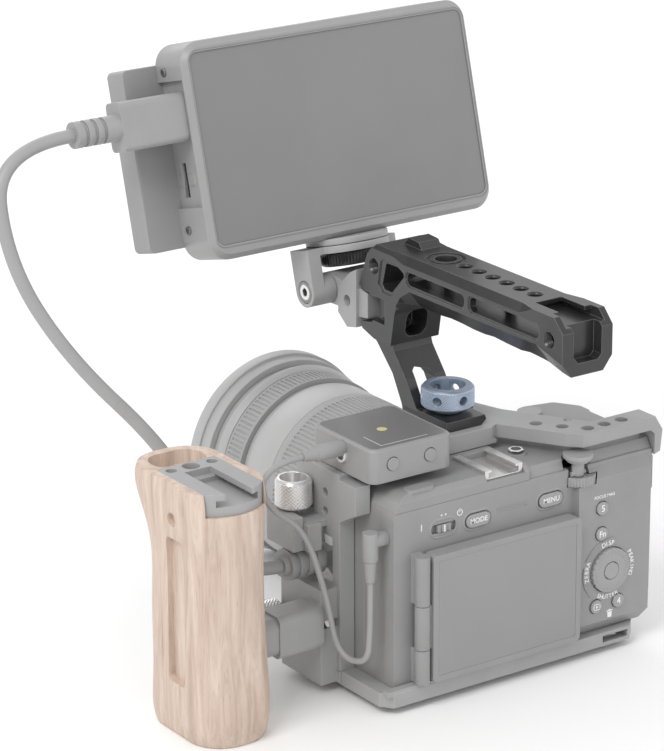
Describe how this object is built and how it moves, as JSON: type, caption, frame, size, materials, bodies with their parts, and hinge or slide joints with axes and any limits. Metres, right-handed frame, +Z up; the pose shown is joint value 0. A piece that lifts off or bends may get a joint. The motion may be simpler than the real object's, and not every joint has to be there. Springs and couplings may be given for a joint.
{
  "type": "cinema camera rig",
  "caption": "Compact cinema camera in a half cage with zoom lens, top handle, tilting field monitor, wireless receiver, wooden side grip and two cords.",
  "frame": {"origin": "mouth of the tripod thread in the underside of the cage base plate, under the lens axis", "axes": "+X to the operator's right, +Y forward along the lens, +Z up"},
  "size_m": [0.2363, 0.217, 0.2467],
  "materials": {
    "grey_body_plastic": "fine-grain moulded shell, washed grey",
    "grey_anodised": "satin anodised aluminium, washed grey",
    "black_anodised": "near-black bead-blasted anodised aluminium",
    "blue_grey_knurl": "blue-grey anodised knurled aluminium",
    "bright_aluminium": "bright knurled aluminium",
    "lens_metal": "satin painted lens barrel",
    "rubber_grip": "ribbed rubber",
    "cord_jacket": "satin cord jacket",
    "plug_plastic": "moulded plug body",
    "wood": "oiled pale pinkish wood",
    "screen_glass": "unlit display glass",
    "lens_glass": "coated lens glass",
    "gloss_cap": "gloss moulded plastic",
    "steel": "bright steel",
    "board": "circuit board"
  },
  "bodies": {
    "frame": {"audio_cable": "cord_jacket", "audio_plug_camera": "plug_plastic", "audio_plug_receiver": "plug_plastic", "cable_clamp_body": "grey_anodised", "cable_clamp_jaw": "grey_anodised", "cage_base_plate": "grey_anodised", "cage_left_plate": "grey_anodised", "cage_screws": "steel", "cage_top_plate": "grey_anodised", "camera_battery": "gloss_cap", "camera_front_shell": "grey_body_plastic", "camera_lens_mount": "steel", "camera_rear_shell": "grey_body_plastic", "camera_top_cover": "grey_body_plastic", "hot_shoe": "steel", "image_sensor": "board", "lens_barrel": "lens_metal", "lens_elements": "lens_glass", "main_board": "board", "mount_clamp": "grey_anodised", "mount_jaw": "grey_anodised", "mount_tilt_bolt": "steel", "receiver_case": "gloss_cap", "receiver_clip": "plug_plastic", "side_bracket": "grey_anodised", "side_grip_core": "grey_anodised", "side_grip_wood": "wood", "top_handle": "black_anodised", "video_cable_lower": "cord_jacket", "video_plug_camera": "plug_plastic"},
    "screen": {"rear_screen_housing": "grey_body_plastic", "rear_screen_glass": "screen_glass"},
    "control_wheel": {"control_wheel": "gloss_cap"},
    "wheel_button": {"wheel_button": "gloss_cap"},
    "mode_switch": {"mode_switch": "grey_body_plastic"},
    "rear_dial": {"rear_dial": "gloss_cap"},
    "joystick": {"joystick": "grey_body_plastic"},
    "shutter_button": {"shutter_button": "gloss_cap"},
    "zoom_ring": {"zoom_ring": "rubber_grip"},
    "focus_ring": {"focus_ring": "rubber_grip"},
    "lens_hood": {"lens_hood": "lens_metal"},
    "handle_lock_wheel": {"handle_lock_wheel": "blue_grey_knurl"},
    "tilt_arm": {"mount_tilt_arm": "grey_anodised"},
    "monitor": {"mount_swivel_plate": "grey_anodised", "monitor_housing": "grey_body_plastic", "monitor_glass": "screen_glass", "monitor_drive": "grey_body_plastic", "video_plug_monitor": "plug_plastic", "video_cable_upper": "cord_jacket"},
    "mount_lock_wheel": {"mount_lock_wheel": "bright_aluminium"},
    "side_knob": {"side_knob": "bright_aluminium"},
    "cable_clamp_knob": {"cable_clamp_knob": "bright_aluminium"},
    "button_mode": {"button_mode": "gloss_cap"},
    "button_menu": {"button_menu": "gloss_cap"},
    "button_five": {"button_five": "gloss_cap"},
    "button_function": {"button_function": "gloss_cap"},
    "button_play": {"button_play": "gloss_cap"},
    "button_delete": {"button_delete": "gloss_cap"},
    "receiver_button_left": {"receiver_button_left": "gloss_cap"},
    "receiver_button_right": {"receiver_button_right": "gloss_cap"}
  },
  "joints": [
    {"name": "screen_swing", "type": "hinge", "parent": "frame", "child": "screen", "pos_m": [-0.048, -0.027, 0.034], "axis": [0, 0, -1], "range_deg": [0, 168]},
    {"name": "button_mode_press", "type": "slide", "parent": "frame", "child": "button_mode", "axis": [0, 1, 0], "range_m": [0, 0.0007], "stiffness_N_per_m": 250},
    {"name": "button_menu_press", "type": "slide", "parent": "frame", "child": "button_menu", "axis": [0, 1, 0], "range_m": [0, 0.0007], "stiffness_N_per_m": 250},
    {"name": "button_five_press", "type": "slide", "parent": "frame", "child": "button_five", "axis": [0, 1, 0], "range_m": [0, 0.0007], "stiffness_N_per_m": 250},
    {"name": "button_function_press", "type": "slide", "parent": "frame", "child": "button_function", "axis": [0, 1, 0], "range_m": [0, 0.0007], "stiffness_N_per_m": 250},
    {"name": "button_play_press", "type": "slide", "parent": "frame", "child": "button_play", "axis": [0, 1, 0], "range_m": [0, 0.0007], "stiffness_N_per_m": 250},
    {"name": "button_delete_press", "type": "slide", "parent": "frame", "child": "button_delete", "axis": [0, 1, 0], "range_m": [0, 0.0007], "stiffness_N_per_m": 250},
    {"name": "wheel_button_press", "type": "slide", "parent": "frame", "child": "wheel_button", "axis": [0, 1, 0], "range_m": [0, 0.0006], "stiffness_N_per_m": 250},
    {"name": "shutter_press", "type": "slide", "parent": "frame", "child": "shutter_button", "axis": [0, 0, -1], "range_m": [0, 0.0008], "stiffness_N_per_m": 250},
    {"name": "receiver_button_left_press", "type": "slide", "parent": "frame", "child": "receiver_button_left", "axis": [0, 1, 0], "range_m": [0, 0.0004], "stiffness_N_per_m": 250},
    {"name": "receiver_button_right_press", "type": "slide", "parent": "frame", "child": "receiver_button_right", "axis": [0, 1, 0], "range_m": [0, 0.0004], "stiffness_N_per_m": 250},
    {"name": "control_wheel_spin", "type": "hinge", "parent": "frame", "child": "control_wheel", "pos_m": [0.0474, -0.026, 0.0331], "axis": [0, -1, 0], "continuous": true},
    {"name": "rear_dial_spin", "type": "hinge", "parent": "frame", "child": "rear_dial", "pos_m": [0.0348, -0.0196, 0.0745], "axis": [0, 0, 1], "continuous": true},
    {"name": "mode_switch_slide", "type": "slide", "parent": "frame", "child": "mode_switch", "axis": [1, 0, 0], "range_m": [-0.0025, 0.0025]},
    {"name": "joystick_tilt", "type": "hinge", "parent": "frame", "child": "joystick", "pos_m": [0.0328, -0.0224, 0.0775], "axis": [1, 0, 0], "range_deg": [-5, 5], "stiffness_Nm_per_rad": 0.05},
    {"name": "zoom_ring_turn", "type": "hinge", "parent": "frame", "child": "zoom_ring", "pos_m": [0, 0.123, 0.044], "axis": [0, 1, 0], "range_deg": [0, 70]},
    {"name": "focus_ring_turn", "type": "hinge", "parent": "frame", "child": "focus_ring", "pos_m": [0, 0.077, 0.044], "axis": [0, 1, 0], "continuous": true},
    {"name": "lens_hood_twist", "type": "hinge", "parent": "frame", "child": "lens_hood", "pos_m": [0, 0.1435, 0.044], "axis": [0, 1, 0], "range_deg": [-60, 0]},
    {"name": "handle_lock_turn", "type": "hinge", "parent": "frame", "child": "handle_lock_wheel", "pos_m": [0, 0.0217, 0.1], "axis": [0, 0, 1], "continuous": true},
    {"name": "monitor_tilt", "type": "hinge", "parent": "frame", "child": "tilt_arm", "pos_m": [0, 0.088, 0.136], "axis": [-1, 0, 0], "range_deg": [-15, 25]},
    {"name": "monitor_swivel", "type": "hinge", "parent": "tilt_arm", "child": "monitor", "pos_m": [0, 0.09292, 0.15435], "axis": [0, 0.2588, 0.9659], "range_deg": [-15, 15]},
    {"name": "mount_lock_turn", "type": "hinge", "parent": "tilt_arm", "child": "mount_lock_wheel", "pos_m": [0, 0.09085, 0.14663], "axis": [0, 0.2588, 0.9659], "continuous": true},
    {"name": "side_knob_turn", "type": "hinge", "parent": "frame", "child": "side_knob", "pos_m": [-0.08, 0.0346, 0.022], "axis": [1, 0, 0], "continuous": true},
    {"name": "cable_clamp_turn", "type": "hinge", "parent": "frame", "child": "cable_clamp_knob", "pos_m": [-0.0736, 0.025, 0.08], "axis": [0, 0, 1], "continuous": true}
  ]
}
